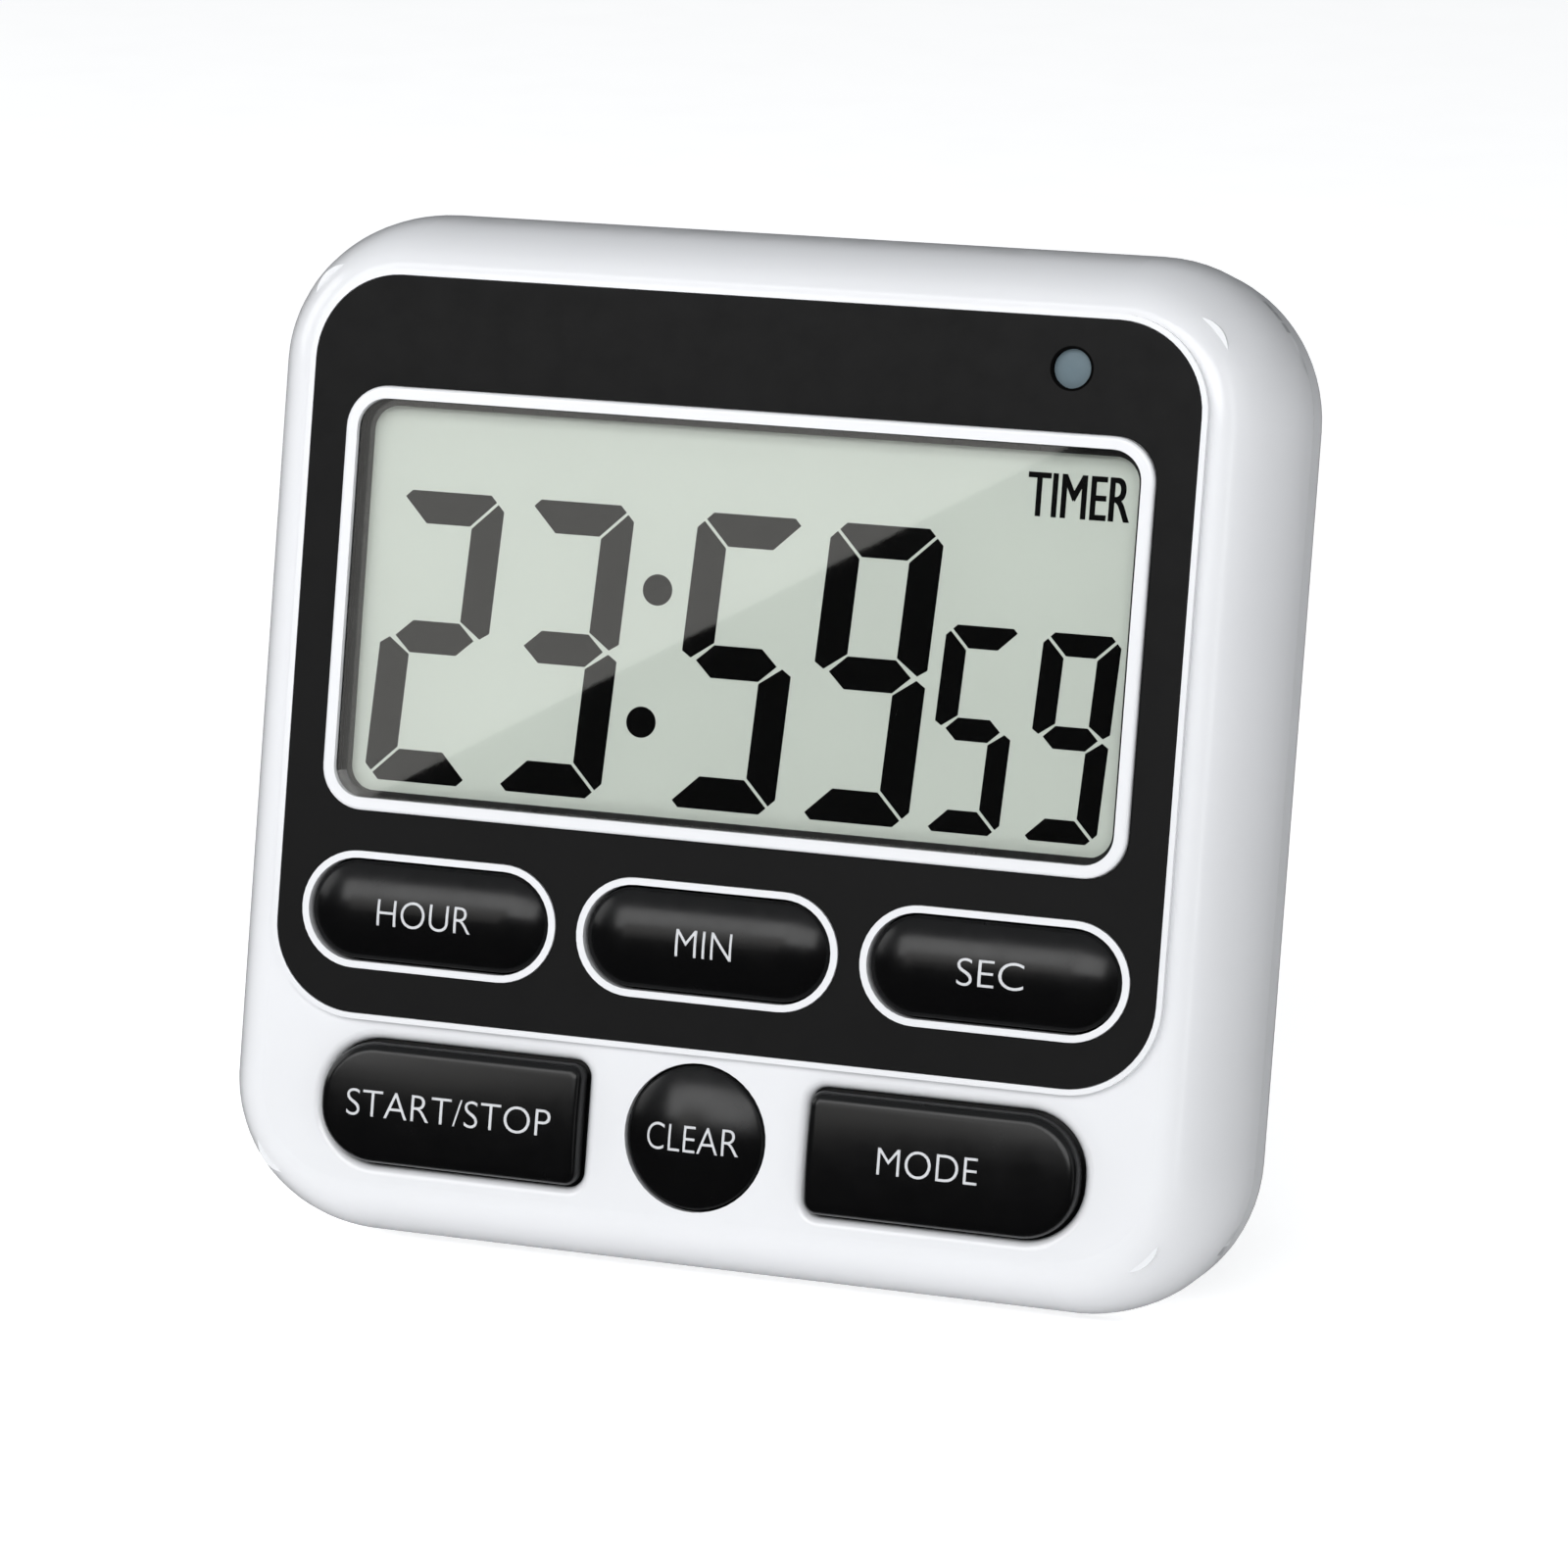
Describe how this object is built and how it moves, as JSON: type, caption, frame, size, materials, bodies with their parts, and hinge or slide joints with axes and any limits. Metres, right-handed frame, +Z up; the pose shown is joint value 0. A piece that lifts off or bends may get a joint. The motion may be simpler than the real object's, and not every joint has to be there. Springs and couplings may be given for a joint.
{
  "type": "digital countdown timer",
  "caption": "Pocket laboratory timer: white two-part case leaning on a fold-out stand, wide display in a black panel, six press keys, lamp, battery door, slide switches and magnets.",
  "frame": {"origin": "centre of the footprint's bounding box, on the table that the timer stands on", "axes": "+Z up, -Y towards the person who reads the display, +X to that person's right; the case leans back 13 degrees from upright"},
  "size_m": [0.0834, 0.0392, 0.0812],
  "materials": {
    "case_plastic": "white moulded ABS, low gloss with a slight sheen",
    "panel_film": "matt black printed film",
    "key_plastic": "polished black moulded plastic",
    "slider_plastic": "matt black moulded plastic",
    "window": "clear acrylic",
    "display_glass": "thin glass with polarising film",
    "reflector_film": "grey-green reflective film",
    "foam": "black foam",
    "black_plastic": "black moulded plastic",
    "strip_rubber": "layered conductive rubber",
    "keypad_rubber": "translucent grey silicone",
    "carbon": "carbon-filled rubber",
    "board_laminate": "green solder mask on glass-epoxy board",
    "epoxy": "black epoxy drop",
    "crystal_can": "drawn metal can",
    "component_ceramic": "sintered ceramic",
    "lamp_lens": "tinted clear epoxy",
    "cell_wrap": "plain printed sleeve",
    "spring_steel": "nickel-plated spring steel",
    "magnet_plate": "nickel-plated magnet",
    "brass_disc": "rolled brass",
    "screw_steel": "zinc-plated steel",
    "wire_cover": "flexible wire cover"
  },
  "bodies": {
    "root": {"battery": "cell_wrap", "battery_contact": "spring_steel", "battery_spring": "spring_steel", "battery_wires": "wire_cover", "board_components": "component_ceramic", "board_screws": "screw_steel", "buzzer_ceramic": "component_ceramic", "buzzer_plate": "brass_disc", "buzzer_wires": "wire_cover", "case_screws": "screw_steel", "chip_cover": "epoxy", "circuit_board": "board_laminate", "contact_strip": "strip_rubber", "crystal": "crystal_can", "display_gasket": "foam", "display_holder": "black_plastic", "display_window": "window", "front_glass": "display_glass", "front_housing": "case_plastic", "indicator_lamp": "lamp_lens", "keypad_mat": "keypad_rubber", "lamp_wires": "wire_cover", "magnets": "magnet_plate", "panel_overlay": "panel_film", "rear_glass": "display_glass", "rear_housing": "case_plastic", "reflector": "reflector_film", "switch_bodies": "black_plastic"},
    "hour_key": {"hour_key": "key_plastic", "hour_contact_pill": "carbon"},
    "minute_key": {"minute_key": "key_plastic", "minute_contact_pill": "carbon"},
    "second_key": {"second_key": "key_plastic", "second_contact_pill": "carbon"},
    "start_stop_key": {"start_stop_key": "key_plastic", "start_stop_contact_pill": "carbon"},
    "clear_key": {"clear_key": "key_plastic", "clear_contact_pill": "carbon"},
    "mode_key": {"mode_key": "key_plastic", "mode_contact_pill": "carbon"},
    "stand": {"stand": "case_plastic"},
    "battery_door": {"battery_door": "case_plastic"},
    "power_slider": {"power_slider": "slider_plastic", "power_switch_lever": "black_plastic"},
    "sound_slider": {"sound_slider": "slider_plastic", "sound_switch_lever": "black_plastic"}
  },
  "joints": [
    {"name": "hour_press", "type": "slide", "parent": "root", "child": "hour_key", "axis": [0, 0.9744, -0.225], "range_m": [0, 0.0007], "stiffness_N_per_m": 2000, "deforming": ["keypad_mat"]},
    {"name": "minute_press", "type": "slide", "parent": "root", "child": "minute_key", "axis": [0, 0.9744, -0.225], "range_m": [0, 0.0007], "stiffness_N_per_m": 2000, "deforming": ["keypad_mat"]},
    {"name": "second_press", "type": "slide", "parent": "root", "child": "second_key", "axis": [0, 0.9744, -0.225], "range_m": [0, 0.0007], "stiffness_N_per_m": 2000, "deforming": ["keypad_mat"]},
    {"name": "start_stop_press", "type": "slide", "parent": "root", "child": "start_stop_key", "axis": [0, 0.9744, -0.225], "range_m": [0, 0.0007], "stiffness_N_per_m": 2000, "deforming": ["keypad_mat"]},
    {"name": "clear_press", "type": "slide", "parent": "root", "child": "clear_key", "axis": [0, 0.9744, -0.225], "range_m": [0, 0.0007], "stiffness_N_per_m": 2000, "deforming": ["keypad_mat"]},
    {"name": "mode_press", "type": "slide", "parent": "root", "child": "mode_key", "axis": [0, 0.9744, -0.225], "range_m": [0, 0.0007], "stiffness_N_per_m": 2000, "deforming": ["keypad_mat"]},
    {"name": "stand_hinge", "type": "hinge", "parent": "root", "child": "stand", "pos_m": [0, 0.00718, 0.04423], "axis": [1, 0, 0], "range_deg": [-27.74, 0]},
    {"name": "battery_door_hinge", "type": "hinge", "parent": "root", "child": "battery_door", "pos_m": [0, 0.00977, 0.04989], "axis": [-1, 0, 0], "range_deg": [0, 60]},
    {"name": "power_slide", "type": "slide", "parent": "root", "child": "power_slider", "axis": [1, 0, 0], "range_m": [-0.003, 0]},
    {"name": "sound_slide", "type": "slide", "parent": "root", "child": "sound_slider", "axis": [1, 0, 0], "range_m": [0, 0.003]}
  ]
}
